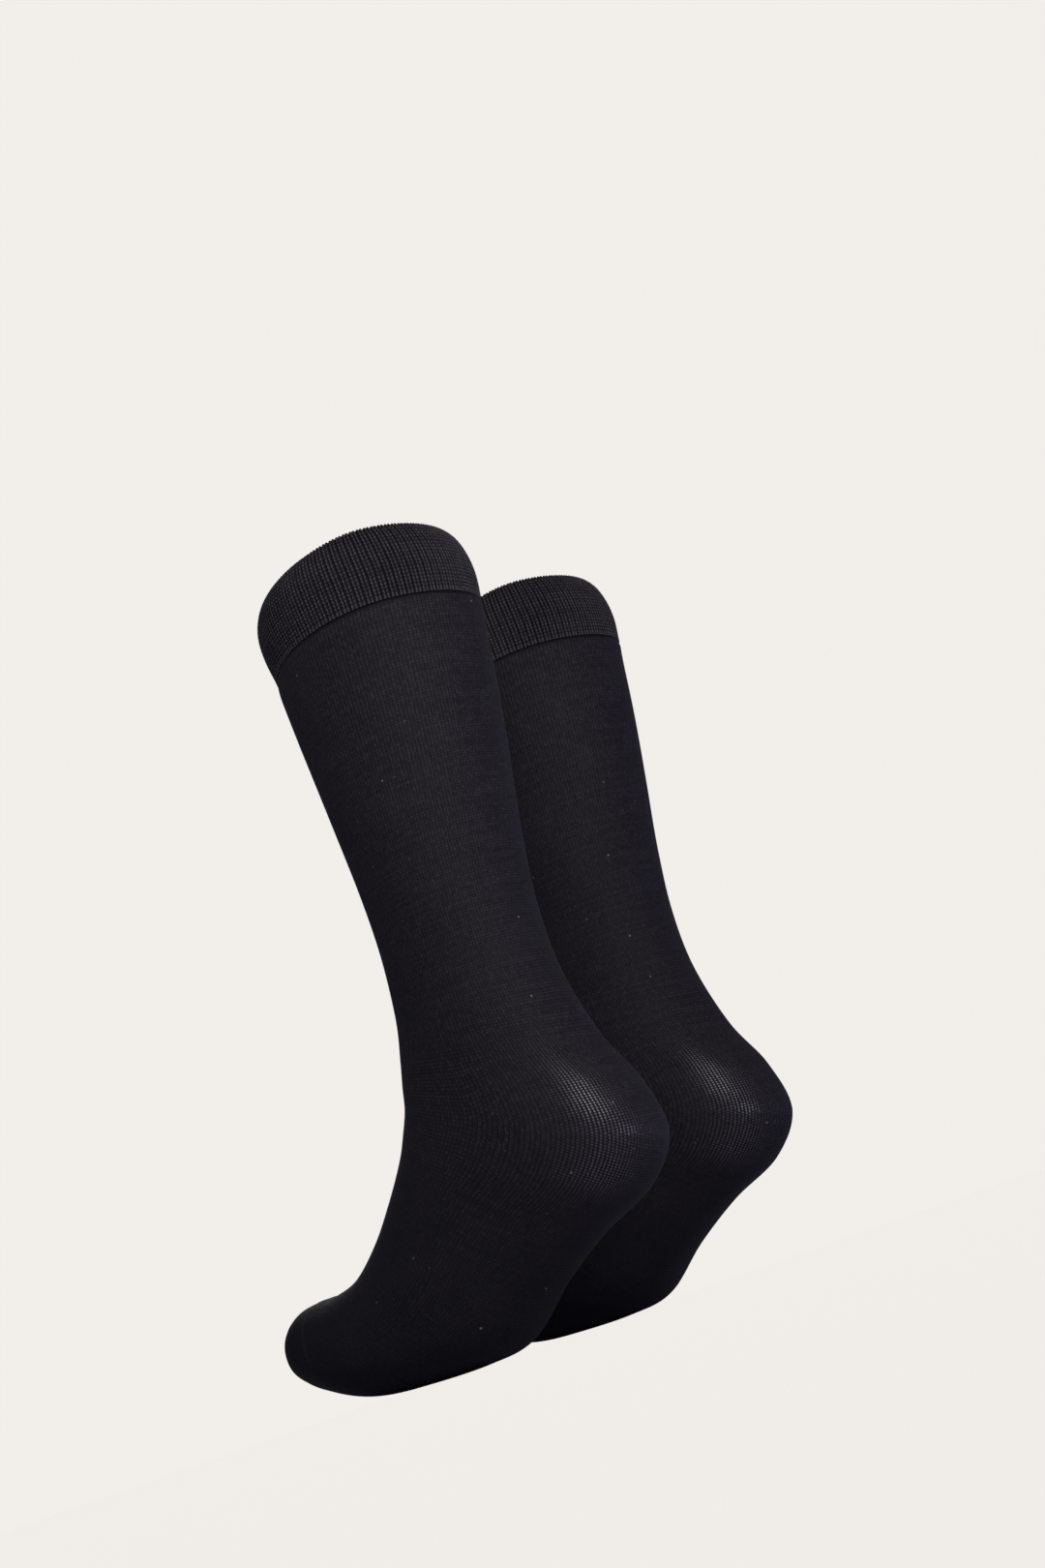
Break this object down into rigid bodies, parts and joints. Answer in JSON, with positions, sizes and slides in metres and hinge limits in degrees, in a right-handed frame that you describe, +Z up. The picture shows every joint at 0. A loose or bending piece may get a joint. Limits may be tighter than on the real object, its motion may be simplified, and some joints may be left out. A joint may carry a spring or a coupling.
{
  "type": "pair of socks",
  "caption": "Pair of plain mid-calf dress socks with ribbed welts, hollow, standing on the toes with raised heels as if worn.",
  "frame": {"origin": "midway between the two mouths, at the height of their rims, where a wearer's legs hold the pair up", "axes": "+Z up along the legs, toes towards -Y, the left sock at +X and the right sock at -X"},
  "size_m": [0.2652, 0.2185, 0.3839],
  "materials": {
    "plain_knit": "fine plain-knit jersey, matt, black",
    "rib_knit": "one-by-one rib, matt, black"
  },
  "bodies": {
    "root": {"left_welt": "rib_knit", "left_leg": "plain_knit", "left_heel": "plain_knit", "left_foot": "plain_knit", "left_toe": "plain_knit", "right_welt": "rib_knit", "right_leg": "plain_knit", "right_heel": "plain_knit", "right_foot": "plain_knit", "right_toe": "plain_knit"}
  },
  "joints": []
}
